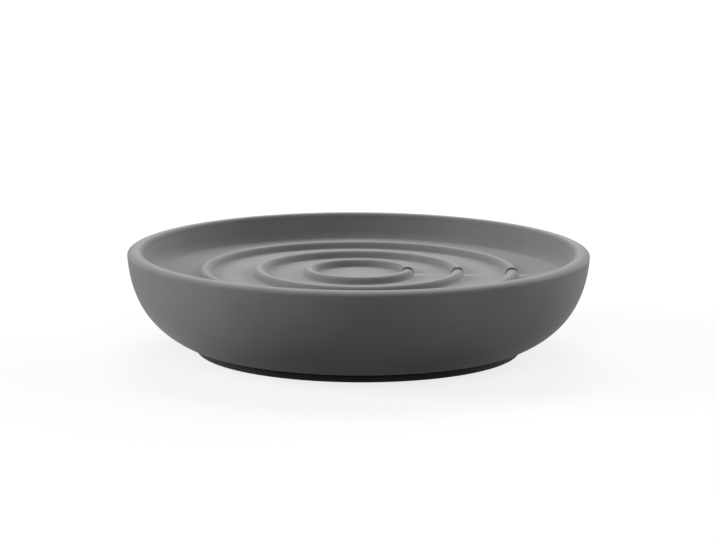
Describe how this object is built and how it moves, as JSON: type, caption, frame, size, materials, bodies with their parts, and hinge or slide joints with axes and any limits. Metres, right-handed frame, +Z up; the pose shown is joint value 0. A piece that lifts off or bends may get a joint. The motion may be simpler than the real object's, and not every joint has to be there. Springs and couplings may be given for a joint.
{
  "type": "soap dish",
  "caption": "Round soap dish: a thick-lipped stoneware bowl whose raised floor has split concentric ridges, on a closed foot with non-slip pads.",
  "frame": {"origin": "middle of the plane that the foot pads stand on", "axes": "+Z up along the axis that the dish is turned about, +X through the gap in the ridges"},
  "size_m": [0.12, 0.12, 0.0268],
  "materials": {
    "stoneware": "matt, soft-touch coat",
    "base_plastic": "fine matt moulding",
    "silicone": "dull"
  },
  "bodies": {
    "root": {"dish_body": "stoneware", "base_plate": "base_plastic", "seal_ring": "silicone", "foot_pad_1": "silicone", "foot_pad_2": "silicone", "foot_pad_3": "silicone", "foot_pad_4": "silicone"}
  },
  "joints": []
}
